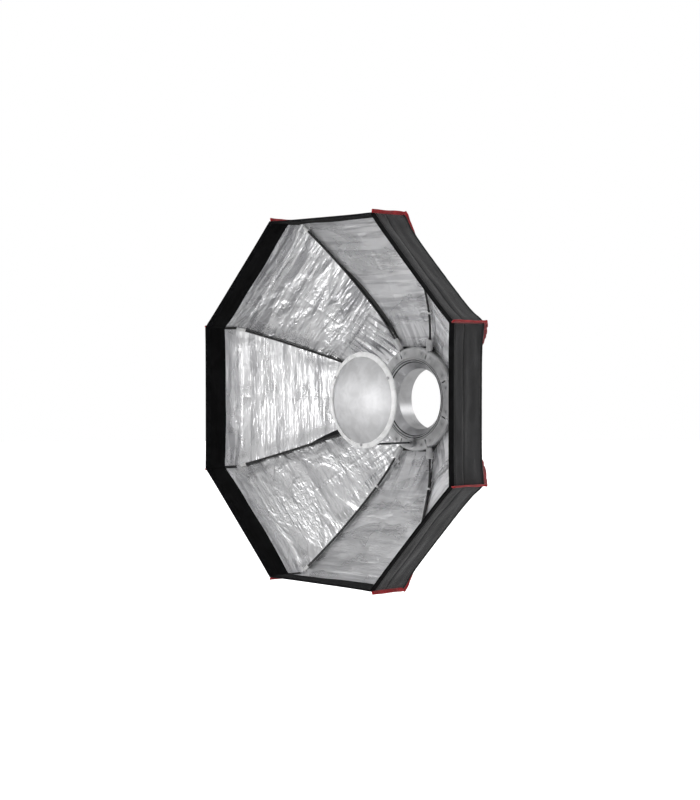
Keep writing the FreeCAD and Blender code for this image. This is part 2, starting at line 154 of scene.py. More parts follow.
def shell_points(depth):
    """The shell's section in the middle of a panel, (apothem, station) from the hub to the knee."""
    clear = SHELL_CLEAR + depth
    knee = bend_point(TIP_CENTRE, TIP_BEND_R + clear, TIP_SLOPE)
    run = (knee[1] - KNEE_Y) / math.sin(math.radians(TIP_SLOPE))
    keys = [
        on_slope(COLLAR, ROOT_SLOPE, 0.0, depth),
        on_slope(SHOULDER, (ROOT_SLOPE + MID_SLOPE) / 2, 0.0, depth),
        bend_point(TIP_CENTRE, TIP_BEND_R + clear, MID_SLOPE),
        bend_point(TIP_CENTRE, TIP_BEND_R + clear, (MID_SLOPE + TIP_SLOPE) / 2),
        knee,
        on_slope(knee, TIP_SLOPE, run, 0.0),
    ]
    keys = [(r * COS, y) for r, y in keys]
    return np.concatenate([arc(*keys[:3])[:-1], arc(*keys[2:5]), [keys[5]]])


class Line:
    """A section line that is followed by its length."""

    def __init__(self, points, soften=0.0):
        self.points = np.array(points, float)
        steps = np.linalg.norm(np.diff(self.points, axis=0), axis=1)
        at = np.concatenate([[0.0], np.cumsum(steps)])
        self.length = at[-1]
        even = np.linspace(0, self.length, 1500)
        dense = np.stack([np.interp(even, at, self.points[:, i]) for i in (0, 1)], 1)
        reach = int(soften / self.length * len(even))
        if reach:
            padded = np.concatenate([
                2 * dense[:1] - dense[reach:0:-1], dense, 2 * dense[-1:] - dense[-2:-reach - 2:-1]])
            kernel = np.ones(2 * reach + 1) / (2 * reach + 1)
            dense = np.stack([np.convolve(padded[:, i], kernel, "valid") for i in (0, 1)], 1)
        self.even, self.dense = even, dense
        self.slope = np.unwrap(np.arctan2(-np.gradient(dense[:, 1]), np.gradient(dense[:, 0])))
        self.marks = at

    def at(self, length):
        """Apothem, station and slope at a length from the hub end."""
        return tuple(np.interp(length, self.even, values)
                     for values in (self.dense[:, 0], self.dense[:, 1], self.slope))


def band_points():
    """Outside of the band from the knee, round its front edge, and in again to the lip's inner edge."""
    hem = shell_points(SHELL_DEPTH)[-1]
    outer, inner, puff = RIM_R - 0.0004, RIM_R - 0.0022, 0.0003
    front = RIM_Y + BAND_T / 2
    rest = [
        (outer, KNEE_Y - 0.004), (outer, RIM_Y + BINDING_W + 0.001), (outer + puff, RIM_Y + BINDING_W),
        (outer + puff, front + 0.0008), (outer - 0.0002, front), (inner + 0.0002, front),
        (inner - puff, front + 0.0008), (inner - puff, RIM_Y + BINDING_W),
        (inner, RIM_Y + BINDING_W + 0.001), (inner, RIM_Y + LIP_DEPTH),
    ]
    return [tuple(hem)] + [(r * COS, y) for r, y in rest]


LINING_KNEE = Line(shell_points(LINING_DEPTH)).length
INSIDE_R = RIM_R - 0.0013
LINING_END = (INSIDE_R * COS, RIM_Y + LIP_DEPTH - 0.006)        # a little under the lip
LINING = Line(np.concatenate([shell_points(LINING_DEPTH), [LINING_END]]), soften=0.004)
SHELL = Line(shell_points(SHELL_DEPTH))
BAND = Line(band_points())
BINDING_START, BINDING_END = BAND.marks[2], BAND.marks[9]
BAND_SEAM = 0.58 * (KNEE_Y - RIM_Y)        # of the crease that is stitched along the band


# ---- cloth surface ----
def fade(value, start, end):
    """0 before start, 1 after end, smooth between."""
    t = np.clip((value - start) / (end - start), 0, 1)
    return t * t * (3 - 2 * t)


def grain(along, across, panel, size_along, size_across, seed):
    """Smooth noise from -1 to 1 over a panel, with its own size each way."""
    flat = np.stack([along.ravel() / size_along, across.ravel() / size_across], 1)
    lift = panel * 7.3 + seed * 3.1
    return np.array([noise.noise(Vector((a, b, lift))) for a, b in flat]).reshape(along.shape)


def ridges(*where):
    """Sharp creases, 1 on a crease and 0 off it, from the same noise."""
    return np.exp(-np.abs(grain(*where)) * 9)


def panel_weight(panel, low, high, seed):
    """A value for one panel, between low and high, the same each run."""
    return low + (high - low) * (0.5 + 0.5 * math.sin(panel * 2.39 + seed * 1.7))


# How each panel's lining is creased: long streaks, fine mottling, pulls at the hub.
FEEL = {0: (0.5, 0.5, 0.5), 1: (0.5, 0.5, 0.5), 2: (0.55, 0.25, 0.4), 3: (1.0, 1.0, 1.2),
        4: (0.35, 0.25, 0.9), 5: (0.4, 0.8, 0.5), 6: (0.3, 0.35, 0.5), 7: (0.6, 0.6, 0.7)}


# Patterns of the creases: their size along a panel, their size across it, and a seed.
WAVES, FOLDS, FOLDED_PARTS = (0.060, 0.110, 3), (0.045, 0.210, 2), (0.08, 0.12, 1)
STREAKS, FINE_STREAKS, SLANTS = (0.020, 0.120, 4), (0.009, 0.090, 11), (0.026, 0.110, 5)
PLEATS, PUCKERS = (0.110, 0.011, 7), (0.2, 0.009, 10)
WRINKLES, SOFT_WRINKLES = (0.017, 0.110, 8), (0.034, 0.060, 9)


def cloth_relief(across, along, panel):
    """How far both layers of a panel stand in from its flat: wide waves, fold marks and soft creases."""
    streak = FEEL[panel][0]
    waves = grain(along + 0.15 * across, across, panel, *WAVES) * 0.0018
    mask = fade(grain(along, across, panel, *FOLDED_PARTS), -0.1, 0.3) * fade(along, 0.03, 0.1)
    folds = ridges(along + 0.1 * across, across, panel, *FOLDS) * mask * 0.0016
    middle = 0.0010 * np.exp(-np.abs(across) / 0.003)
    cross = 0.0006 * np.exp(-np.abs(along - panel_weight(panel, 0.12, 0.2, 2)) / 0.003)
    return waves + folds * (0.5 + 0.5 * streak) + middle + cross


def lining_crinkle(across, along, panel):
    """What the lining has more than the shell: sharp streaks, slanting creases and pulls at the hub."""
    streak, _, pull = FEEL[panel]
    near_hub = 1 - fade(along, 0.015, 0.13)
    streaks = ridges(along + 0.2 * across, across, panel, *STREAKS) * 0.0009
    fine = grain(along + 0.1 * across, across, panel, *FINE_STREAKS) * 0.0005
    slant = ridges(along + 0.5 * across, across, panel, *SLANTS) * 0.0008
    pleats = (0.5 + grain(along, across, panel, *PLEATS)) * near_hub * 0.0022
    return (streaks + fine + slant) * streak * (1 - 0.85 * near_hub) + pleats * pull


def band_relief(across, ahead, panel):
    """The band: long soft wrinkles along the front edge, puckers at the knee and a stitched crease."""
    depth = KNEE_Y - RIM_Y
    body = fade(ahead, 0.001, 0.012) * (1 - fade(ahead, depth - BINDING_W - 0.012, depth - BINDING_W))
    wrinkles = grain(ahead, across, panel, *WRINKLES) * 0.0021
    soft = grain(ahead, across, panel, *SOFT_WRINKLES) * 0.0020
    pucker = grain(ahead, across, panel, *PUCKERS) * np.exp(-np.abs(ahead) / 0.006) * 0.0004
    seam = 0.0012 * np.exp(-((ahead - BAND_SEAM) / 0.0022) ** 2)
    return (wrinkles + soft) * body + pucker + seam


def shell_relief(across, along, y, panel):
    """The shell's own relief, turning into the band's at the knee."""
    share = fade(KNEE_Y - y, -0.012, 0.002)
    return (1 - share) * cloth_relief(across, along, panel) + share * band_relief(across, KNEE_Y - y, panel)


def lining_relief(across, along, y, panel):
    """The lining's: the shell's, and its crinkle behind the knee."""
    crinkle = lining_crinkle(across, along, panel) * (1 - fade(KNEE_Y - y, -0.006, 0.004))
    from_rib = fade(KNEE_R * SIN - np.abs(across), 0.010, 0.045)
    fill = KNEE_FILL * np.exp(-((KNEE_Y - y) / 0.013) ** 2) * from_rib
    return shell_relief(across, along, y, panel) + crinkle + fill


def outer_relief(across, along, y, panel):
    """The band's, at the same place on its outside and on its lip."""
    return band_relief(across, np.maximum(KNEE_Y - y, 0.0), panel)


def no_relief(across, along, y, panel):
    """None: tape that lies on a corner."""
    return np.zeros(across.shape)


def sag_share(y):
    """How much of the full sag a panel has at a station: none at the hub, least at the front edge."""
    stations = [RIM_Y, RIM_Y + 0.03, KNEE_Y, KNEE_Y + 0.03, -0.10, -0.06, COLLAR[1]]
    return np.interp(y, stations, [0.15, 0.35, 0.75, 0.9, 1.0, 0.5, 0.0])


def cloth_points(rib, side, line, along, aside, relief, lift=0.0):
    """Places of cloth on one side of a rib, from lengths along its section and distances from the corner.

    side is 1 towards the next rib and -1 towards the one before. Returns the places, and for each the
    panel coordinates: across from the panel's middle, along, and the panel's number."""
    angle = rib_angle(rib)
    facing = radial(angle + side * HALF)
    apothem, y, slope = line.at(along)
    half = apothem * TAN
    panel = (rib if side > 0 else rib - 1) % RIBS
    across = -side * (half - aside)
    in_panel = -SIN * radial(angle) + side * COS * tangent(angle)
    rounded = np.sqrt(aside ** 2 + CORNER_ROUND ** 2) - CORNER_ROUND * np.exp(-aside / CORNER_ROUND)
    corner = (apothem / COS)[..., None] * radial(angle) + y[..., None] * EY
    place = corner + rounded[..., None] * in_panel
    sag = SAG.get(panel, USUAL_SAG) * (1 - (across / half) ** 4) * sag_share(y) * fade(aside, 0.0, 0.03)
    depth = sag + fade(aside, 0.003, 0.022) * relief(across, along, y, panel) + lift
    share = 1.0 if line is BAND else fade(KNEE_Y - y, -0.012, 0.002)
    lean = (1 - share) * slope + share * math.pi / 2
    out = np.sin(lean)[..., None] * facing + np.cos(lean)[..., None] * EY
    coordinates = np.stack([across, along, np.full(across.shape, float(panel))], -1)
    return place - depth[..., None] * out, coordinates


def fold_axis(rib, side):
    """The way in which the cloth between two ribs gathers: across the panel, square to the rod."""
    angle = rib_angle(rib)
    chord = math.radians(CHORD_SLOPE)
    away = math.sin(chord) * radial(angle) + math.cos(chord) * EY
    axis = COS * side * tangent(angle) - GATHER_LEAN * away
    return axis / np.linalg.norm(axis)


def strip_edge(rib, side, line, along):
    """Distance from the corner to the plane where the gathered part of a panel starts."""
    angle = rib_angle(rib)
    apothem, y, _ = line.at(along)
    axis = fold_axis(rib, side)
    in_panel = -SIN * radial(angle) + side * COS * tangent(angle)
    corner = (apothem / COS)[..., None] * radial(angle) + y[..., None] * EY
    return ((strip_anchor(rib, side) - corner) @ axis) / (in_panel @ axis)


def strip_anchor(rib, side):
    """A point of that plane, beside the middle of the rod."""
    angle = rib_angle(rib)
    r, y = BEND_JOIN
    return r * radial(angle) + y * EY + STRIP_W * (-SIN * radial(angle) + side * COS * tangent(angle))


KNEE_STRIP_W = float(strip_edge(1, 1, SHELL, np.array([SHELL.length]))[0])


# ---- meshes ----
def grid_normals(grid):
    """Unit normals of a grid of points."""
    down, over = np.gradient(grid, axis=0), np.gradient(grid, axis=1)
    normal = np.cross(over, down)
    return normal / np.maximum(np.linalg.norm(normal, axis=2, keepdims=True), 1e-12)


class Cloth:
    """A grid of cloth: its points, their normals and the panel coordinates of each."""

    def __init__(self, points, coordinates, normals=None):
        self.points, self.coordinates = points, coordinates
        self.normals = grid_normals(points) if normals is None else normals

    def part(self, rows, columns):
        """A block of the grid, which keeps the whole grid's normals."""
        return Cloth(*(x[rows, columns] for x in (self.points, self.coordinates, self.normals)))


def add_mesh(name, points, faces, coordinates, materials, face_material=None):
    """A mesh object, with the cloth coordinates and the feel of the panel that its material follows."""
    mesh = bpy.data.meshes.new(name)
    mesh.from_pydata([tuple(p) for p in points], [], faces)
    feel = [FEEL[int(panel) % RIBS] for panel in np.asarray(coordinates)[:, 2]]
    for key, values in (("cloth", coordinates), ("feel", feel)):
        attribute = mesh.attributes.new(key, "FLOAT_VECTOR", "POINT")
        attribute.data.foreach_set("vector", np.asarray(values, np.float32).ravel())
    for material in materials:
        mesh.materials.append(material)
    if face_material is not None:
        mesh.polygons.foreach_set("material_index", face_material)
    mesh.polygons.foreach_set("use_smooth", [True] * len(mesh.polygons))
    mesh.update()
    mesh.validate()
    piece = bpy.data.objects.new(name, mesh)
    bpy.context.scene.collection.objects.link(piece)
    return piece


def sheet_mesh(name, cloth, thickness, materials, row_material=None):
    """A closed thin sheet around a grid of cloth."""
    rows, columns = cloth.points.shape[:2]
    half = cloth.normals * thickness / 2
    points = np.concatenate([(cloth.points + half).reshape(-1, 3), (cloth.points - half).reshape(-1, 3)])
    back = rows * columns
    faces, index = [], []
    for i in range(rows - 1):
        for j in range(columns - 1):
            a, b, c, d = (i * columns + j, i * columns + j + 1,
                          (i + 1) * columns + j + 1, (i + 1) * columns + j)
            faces += [(a, b, c, d), (a + back, d + back, c + back, b + back)]
            index += [row_material[i] if row_material else 0] * 2
    grid = np.arange(back).reshape(rows, columns)
    loop = [*grid[0], *grid[1:, -1], *grid[-1, -2::-1], *grid[-2:0:-1, 0]]
    loop = [int(point) for point in loop]
    for a, b in zip(loop, loop[1:] + loop[:1]):
        faces.append((a, a + back, b + back, b))
        index.append(row_material[min(min(a, b) // columns, rows - 2)] if row_material else 0)
    flat = np.concatenate([cloth.coordinates.reshape(-1, 3)] * 2)
    piece = add_mesh(name, points, faces, flat, materials, index)
    normals = cloth.normals.reshape(-1, 3)
    piece.data.normals_split_custom_set_from_vertices(np.concatenate([normals, -normals]).tolist())
    return piece


def spread(start, end, step):
    """Even values from start to end, about a step apart."""
    return np.linspace(start, end, max(2, int(round((end - start) / step)) + 1))


def edge_of_strip(rib, side, line, along, in_band):
    """Where the strip beside the rib ends: its own plane, or the panel's middle where that is nearer."""
    half = line.at(along)[0] * TAN
    plane = np.where(in_band, KNEE_STRIP_W, strip_edge(rib, side, line, along))
    return np.minimum(plane, half)


def tape_grid(rib, along, edges, lift):
    """Tape over the lining on both sides of a rib's corner, out to an edge distance for each row."""
    share = np.linspace(0, 1, 5)
    rows = np.repeat(along[:, None], len(share), 1)
    sides = [cloth_points(rib, side, LINING, rows, edge[:, None] * share, no_relief, lift)
             for side, edge in zip((-1, 1), edges)]
    return Cloth(*(np.concatenate([left[:, :0:-1], right], 1) for left, right in zip(*sides)))


class Gore:
    """One rib's share of a layer of cloth, half a panel to each side, in columns of strip and panel."""

    def __init__(self, rib, line, along, relief, step, in_band):
        self.rib, self.along = rib, along
        half = line.at(along)[0] * TAN
        self.inner = max(3, int(round(STRIP_W / step)))
        self.outer = max(3, int(round((half.max() - STRIP_W) / step)))
        share = np.linspace(0, 1, self.inner + 1) ** 1.2
        sides = []
        for side in (-1, 1):
            near = edge_of_strip(rib, side, line, along, in_band)
            self.first = max(int(np.argmax(half - near > 0.001)) - 1, 0)
            near[self.first] = min(near[self.first], half[self.first] - 0.0003)
            panel = near[:, None] + (half - near)[:, None] * np.linspace(0, 1, self.outer + 1)[1:]
            aside = np.concatenate([near[:, None] * share, panel, half[:, None] + step], 1)
            rows = np.repeat(along[:, None], aside.shape[1], 1)
            sides.append(cloth_points(rib, side, line, rows, aside, relief))
        whole = Cloth(*(np.concatenate([left[:, :0:-1], right], 1) for left, right in zip(*sides)))
        self.cloth = whole.part(slice(None), slice(1, -1))

    def strip(self):
        """The columns beside the rib."""
        return self.cloth.part(slice(None), slice(self.outer, self.outer + 2 * self.inner + 1))

    def panel(self, side, start=0, end=None):
        """The columns from the strip to the panel's middle, in a range of rows that have them."""
        start = max(start, self.first)
        columns = slice(0, self.outer + 1) if side < 0 else slice(self.outer + 2 * self.inner, None)
        return self.cloth.part(slice(start, end), columns)


# ---- riding ----
def bend_at_knee(piece):
    """Bakes the piece's place into its mesh; it is tied to neither its rib nor its band corner."""
    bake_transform(piece)


def gather(piece, rib, in_band):
    """The piece is tied to its band corner or to its rib, and gets a mesh of its own."""
    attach(piece, f"band_{rib}" if in_band else f"rib_{rib}")
    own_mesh(piece)


# ---- materials ----
STITCH = 0.0035                            # from one stitch to the next
JOINT_SHADE = (0.020, 0.020, 0.021)              # painted shade in the rings where the adapter meets the hub


def add(tree, kind, inputs=None, **settings):
    """A shader node. An input given as a socket is linked, and any other is set."""
    node = tree.nodes.new(kind)
    for key, setting in settings.items():
        setattr(node, key, setting)
    for key, given in (inputs or {}).items():
        if isinstance(given, bpy.types.NodeSocket):
            tree.links.new(given, node.inputs[key])
        else:
            node.inputs[key].default_value = given
    return node


def math_node(tree, operation, first, second=0.0):
    """A sum, product or other operation on two values."""
    return add(tree, "ShaderNodeMath", {0: first, 1: second}, operation=operation).outputs[0]


def times(tree, first, second):
    """The product of two values."""
    return math_node(tree, "MULTIPLY", first, second)


def distance(tree, first, second):
    """How far two values are apart."""
    return math_node(tree, "ABSOLUTE", math_node(tree, "SUBTRACT", first, second))


def apart(tree, vector):
    """The three parts of a vector."""
    return add(tree, "ShaderNodeSeparateXYZ", {0: vector}).outputs


def scaled(tree, vector, x, y, z):
    """Coordinates multiplied along each axis."""
    return add(tree, "ShaderNodeVectorMath", {0: vector, 1: (x, y, z)}, operation="MULTIPLY").outputs[0]


def cloudy(tree, vector, size, detail, distortion=0.0):
    """Noise with features of this size in metres, from 0 to 1."""
    inputs = {"Vector": vector, "Scale": 1 / size, "Detail": detail, "Distortion": distortion}
    return add(tree, "ShaderNodeTexNoise", inputs).outputs[0]


def ranged(tree, value, low, high, to_low, to_high):
    """A value moved smoothly from one range to another, held at its ends."""
    inputs = {0: value, 1: low, 2: high, 3: to_low, 4: to_high}
    return add(tree, "ShaderNodeMapRange", inputs, interpolation_type="SMOOTHSTEP").outputs[0]


def creased(tree, vector, size, sharp, distortion):
    """Lines of creases, 1 on a crease and 0 off it."""
    raw = cloudy(tree, vector, size, 1.5, distortion)
    off = distance(tree, raw, 0.5)
    return ranged(tree, off, 0.0, 1.0 / sharp, 1.0, 0.0)


def weave(tree, vector, pitch):
    """Crossed threads of this pitch, from 0 to 1."""
    inputs = {"Vector": vector, "Scale": 0.5 / pitch, "Distortion": 0.4, "Detail": 1.0}
    warp = add(tree, "ShaderNodeTexWave", inputs, bands_direction="X").outputs[1]
    weft = add(tree, "ShaderNodeTexWave", inputs, bands_direction="Y").outputs[1]
    return times(tree, math_node(tree, "ADD", warp, weft), 0.5)


def bumped(tree, height, distance, below=None):
    """A bump from a height that is worth this distance in metres."""
    inputs = {"Height": height, "Distance": distance, "Strength": 1.0}
    if below is not None:
        inputs["Normal"] = below
    return add(tree, "ShaderNodeBump", inputs).outputs[0]


def mixed(tree, factor, first, second):
    """A colour between two."""
    inputs = {0: factor, 1: (*first, 1) if isinstance(first, tuple) else first,
              2: (*second, 1) if isinstance(second, tuple) else second}
    return add(tree, "ShaderNodeMixRGB", inputs).outputs[0]


def start_material(name, source="object"):
    """A new material: its tree, its principled node, and the coordinates its pattern follows."""
    material = bpy.data.materials.new(name)
    material.use_nodes = True
    tree = material.node_tree
    principled = tree.nodes["Principled BSDF"]
    if source == "cloth":
        vector = add(tree, "ShaderNodeAttribute", attribute_name="cloth").outputs["Vector"]
        vector = scaled(tree, vector, 1.0, 1.0, 1.7)
    else:
        vector = add(tree, "ShaderNodeTexCoord").outputs["Object"]
    return material, tree, principled, vector


def finish_material(tree, principled, colour, roughness, normal=None, **values):
    """Joins the parts of a material up."""
    for key, given in {"Base Color": colour, "Roughness": roughness, "Normal": normal,
                       **{k.replace("_", " "): v for k, v in values.items()}}.items():
        if given is None:
            continue
        if isinstance(given, bpy.types.NodeSocket):
            tree.links.new(given, principled.inputs[key])
        else:
            principled.inputs[key].default_value = (*given, 1) if isinstance(given, tuple) else given


def lining_material():
    """Crinkled metallised cloth: creases across the panel, fine mottling, and pleats near the hub, with
    painted shade along the creases, fold marks and pleats and painted highlights on the crumpled patches.
    """
    material, tree, principled, vector = start_material("silver_lining", "cloth")
    feel = add(tree, "ShaderNodeAttribute", attribute_name="feel").outputs["Vector"]
    streaky, mottled, pulled = apart(tree, feel)
    out = apart(tree, vector)[1]
    near_hub = times(tree, ranged(tree, out, 0.030, 0.125, 1.0, 0.0), pulled)
    calm = ranged(tree, near_hub, 0.0, 1.0, 1.0, 0.1)
    streaky = times(tree, streaky, calm)
    mottled = times(tree, mottled, calm)
    patches = cloudy(tree, scaled(tree, vector, 0.6, 1.0, 1.0), 0.050, 2.0, 0.8)
    crumpled = times(tree, ranged(tree, patches, 0.44, 0.60, 0.12, 1.0), mottled)
    streaks = cloudy(tree, scaled(tree, vector, 0.10, 1.0, 1.0), 0.011, 2.5, 0.3)
    fine_streaks = cloudy(tree, scaled(tree, vector, 0.16, 1.0, 1.0), 0.0042, 2.0, 0.3)
    marks = cloudy(tree, scaled(tree, vector, 0.13, 1.0, 1.0), 0.020, 1.5, 0.4)
    mottle = cloudy(tree, scaled(tree, vector, 0.6, 1.0, 1.0), 0.0075, 3.0, 0.9)
    pleats = cloudy(tree, scaled(tree, vector, 1.0, 0.09, 1.0), 0.0085, 1.0, 0.2)
    normal = bumped(tree, times(tree, streaks, streaky), 0.0040)
    normal = bumped(tree, times(tree, pleats, near_hub), 0.0060, normal)
    normal = bumped(tree, times(tree, fine_streaks, calm), 0.0011, normal)
    normal = bumped(tree, times(tree, mottle, crumpled), 0.0042, normal)
    normal = bumped(tree, cloudy(tree, vector, 0.0022, 2.0), 0.00022, normal)
    share = ranged(tree, patches, 0.35, 0.65, 0.0, 1.0)
    colour = mixed(tree, share, (0.75, 0.75, 0.76), (0.90, 0.90, 0.91))
    # painted shade along the streaks, fold marks and pleats, and painted highlights on the crumpled patches,
    # standing in for the foil's reflections
    painted_shade_and_highlights = [(ranged(tree, streaks, 0.50, 0.66, 0.0, 0.75), streaky, (0.33, 0.33, 0.345)),
              (ranged(tree, mottle, 0.54, 0.66, 0.0, 0.9), crumpled, (0.98, 0.98, 0.98)),
              (ranged(tree, marks, 0.58, 0.63, 0.0, 0.62), times(tree, pulled, calm), (0.38, 0.38, 0.395)),
              (ranged(tree, pleats, 0.50, 0.58, 0.0, 0.8), near_hub, (0.28, 0.28, 0.295))]
    for amount, weight, shade in painted_shade_and_highlights:
        colour = mixed(tree, times(tree, amount, weight), colour, shade)
    roughness = ranged(tree, patches, 0.3, 0.7, 0.24, 0.36)
    finish_material(tree, principled, colour, roughness, normal, Metallic=0.88)
    return material


def seam_lines(tree, vector, seams):
    """Lines sewn across a panel at these lengths: how much of a groove, and how much of a thread."""
    split = apart(tree, vector)
    groove = thread = 0.0
    dash = math_node(tree, "FRACT", math_node(tree, "DIVIDE", split[0], STITCH))
    dash = math_node(tree, "LESS_THAN", dash, 0.62)
    for seam in seams:
        off = distance(tree, split[1], seam)
        groove = math_node(tree, "MAXIMUM", groove, ranged(tree, off, 0.0008, 0.0026, 1.0, 0.0))
        thread = math_node(tree, "MAXIMUM", thread, ranged(tree, off, 0.0002, 0.0005, 1.0, 0.0))
    return groove, times(tree, thread, dash)


def fabric_material(name, base, light, pitch=0.0008, sheen=0.25, rough=0.78, lint=0.02, seams=(),
                    gloss=0.3):
    """Woven polyester: threads, soft creases, sewn lines with painted shade in their grooves, and a little
    lint.
    """
    material, tree, principled, vector = start_material(name, "cloth")
    threads = weave(tree, vector, pitch)
    soft = cloudy(tree, scaled(tree, vector, 0.3, 1.0, 1.0), 0.012, 2.0, 0.6)
    wear = cloudy(tree, vector, 0.045, 3.0, 0.5)
    fleck = ranged(tree, cloudy(tree, vector, 0.0016, 1.0), 0.68, 0.75, 0.0, lint * 10)
    normal = bumped(tree, soft, 0.0008)
    normal = bumped(tree, threads, 0.00012, normal)
    colour = mixed(tree, ranged(tree, wear, 0.35, 0.7, 0.0, 1.0), base, light)
    colour = mixed(tree, times(tree, threads, 0.3), colour, base)
    colour = mixed(tree, fleck, colour, tuple(min(1.0, 3 * c) for c in light))
    if seams:
        groove, thread = seam_lines(tree, vector, seams)
        normal = bumped(tree, groove, -0.0006, normal)
        normal = bumped(tree, thread, 0.0003, normal)
        # painted shade in the seam grooves: the colour goes nearly black along each sewn line
        shade = tuple(0.15 * c for c in base)
        colour = mixed(tree, times(tree, groove, 0.9), colour, shade)
        colour = mixed(tree, thread, colour, tuple(1.1 * c for c in light))
    roughness = ranged(tree, wear, 0.3, 0.7, rough - 0.08, rough + 0.08)
    finish_material(tree, principled, colour, roughness, normal, Sheen_Weight=sheen, Sheen_Roughness=0.4,
                    Specular_IOR_Level=gloss)
    return material


def tape_material(name, base, light, rib=0.0011, sheen=0.3, gloss=0.2):
    """Grosgrain tape: ribs across its length."""
    material, tree, principled, vector = start_material(name, "cloth")
    inputs = {"Vector": vector, "Scale": 1 / rib / 2, "Distortion": 0.3}
    ribs = add(tree, "ShaderNodeTexWave", inputs, bands_direction="Y").outputs[1]
    wear = cloudy(tree, vector, 0.012, 3.0)
    normal = bumped(tree, ribs, 0.00015, bumped(tree, wear, 0.0004))
    colour = mixed(tree, ranged(tree, wear, 0.35, 0.65, 0.0, 1.0), base, light)
    colour = mixed(tree, times(tree, ribs, 0.25), colour, tuple(0.5 * c for c in base))
    finish_material(tree, principled, colour, 0.62, normal, Sheen_Weight=sheen, Specular_IOR_Level=gloss)
    return material


def from_axis(tree, vector):
    """Distance from the part's axis."""
    split = apart(tree, vector)
    flat = add(tree, "ShaderNodeCombineXYZ", {0: split[0], 1: split[2]})
    return add(tree, "ShaderNodeVectorMath", {0: flat.outputs[0]}, operation="LENGTH").outputs[1]


def painted_joint_shade(tree, reach, radii):
    """Painted shade: dark rings at these distances from the axis, 1 on a ring and 0 off it."""
    lines = 0.0
    for radius in radii:
        off = distance(tree, reach, radius)
        lines = math_node(tree, "MAXIMUM", lines, ranged(tree, off, 0.0004, 0.0010, 1.0, 0.0))
    return lines


def cast_material(name, base, light, rough, metallic, grain_size=0.0009, joints=()):
    """Cast and painted metal: fine grain, cloudy finish, brighter where the edges are worn, and painted shade
    in rings at any joints given.
    """
    material, tree, principled, vector = start_material(name)
    fine = cloudy(tree, vector, grain_size, 3.0)
    wide = cloudy(tree, vector, 0.018, 3.0, 0.4)
    normal = bumped(tree, wide, 0.0002, bumped(tree, fine, 0.00012))
    worn = add(tree, "ShaderNodeNewGeometry").outputs["Pointiness"]
    worn = times(tree, ranged(tree, worn, 0.52, 0.62, 0.0, 0.6), wide)
    colour = mixed(tree, ranged(tree, wide, 0.3, 0.7, 0.0, 1.0), base, light)
    colour = mixed(tree, times(tree, fine, 0.35), colour, tuple(0.6 * c for c in base))
    colour = mixed(tree, worn, colour, tuple(min(1.0, 1.8 * c) for c in light))
    # painted shade: the colour goes dark in rings at the joints
    colour = mixed(tree, painted_joint_shade(tree, from_axis(tree, vector), joints), colour, JOINT_SHADE)
    roughness = ranged(tree, fine, 0.3, 0.7, rough - 0.08, rough + 0.1)
    finish_material(tree, principled, colour, roughness, normal, Metallic=metallic)
    return material


def turned_material(name, base, rough, pitch=0.0005, depth=0.00002, metallic=1.0, joints=()):
    """Metal turned on a lathe about the axis: fine rings, a soft haze, and painted shade in rings at any
    joints given.
    """
    material, tree, principled, vector = start_material(name)
    reach = from_axis(tree, vector)
    station = apart(tree, vector)[1]
    along = add(tree, "ShaderNodeCombineXYZ", {0: reach, 1: station}).outputs[0]
    rings = cloudy(tree, along, pitch, 2.0)
    haze = cloudy(tree, vector, 0.02, 3.0, 0.5)
    normal = bumped(tree, rings, depth)
    dark = tuple(0.82 * c for c in base)
    colour = mixed(tree, ranged(tree, haze, 0.3, 0.7, 0.0, 1.0), dark, base)
    # painted shade: the colour goes dark in rings at the joints
    colour = mixed(tree, painted_joint_shade(tree, reach, joints), colour, JOINT_SHADE)
    roughness = math_node(tree, "ADD", ranged(tree, rings, 0.3, 0.7, rough - 0.05, rough + 0.05),
                          ranged(tree, haze, 0.3, 0.7, -0.03, 0.05))
    finish_material(tree, principled, colour, roughness, normal, Metallic=metallic)
    return material


def plastic_material(name, base, rough, coat):
    """Moulded or painted surface: faint orange peel, scuffs and a clouded gloss."""
    material, tree, principled, vector = start_material(name)
    peel = cloudy(tree, vector, 0.0012, 2.0)
    haze = cloudy(tree, vector, 0.014, 4.0, 0.5)
    scuffs = creased(tree, scaled(tree, vector, 1.0, 0.3, 1.0), 0.007, 40.0, 0.2)
    normal = bumped(tree, scuffs, -0.00003, bumped(tree, peel, 0.00005))
    colour = mixed(tree, ranged(tree, haze, 0.3, 0.7, 0.0, 1.0), tuple(0.85 * c for c in base), base)
    colour = mixed(tree, times(tree, scuffs, 0.18), colour,
                   tuple(min(1.0, c * 1.5 + 0.02) for c in base))
    roughness = ranged(tree, haze, 0.3, 0.7, rough - 0.07, rough + 0.1)
    finish_material(tree, principled, colour, roughness, normal, Coat_Weight=coat)
    return material


LINING_LOOK = lining_material()
SHELL_LOOK = fabric_material("shell_cloth", (0.012, 0.012, 0.013), (0.024, 0.024, 0.026))
# the band's sewn lines get painted shade in their grooves
BAND_LOOK = fabric_material("band_cloth", (0.023, 0.023, 0.024), (0.045, 0.045, 0.047), sheen=0.3,
                            seams=(0.003, BAND_SEAM, BINDING_START - 0.0012))
LIP_LOOK = fabric_material("lip_cloth", (0.004, 0.004, 0.0042), (0.009, 0.009, 0.0095), 0.0012, 0.04, 0.9,
                           0.0, gloss=0.05)
BINDING_LOOK = tape_material("binding_tape", (0.003, 0.003, 0.0033), (0.008, 0.008, 0.009), sheen=0.0,
                             gloss=0.05)
RED_LOOK = tape_material("red_piping", (0.34, 0.006, 0.010), (0.55, 0.020, 0.028))
SEAM_LOOK = tape_material("seam_tape", (0.004, 0.004, 0.0045), (0.012, 0.012, 0.013))
LOOP_LOOK = tape_material("white_loop", (0.62, 0.62, 0.62), (0.80, 0.80, 0.80), 0.0008)

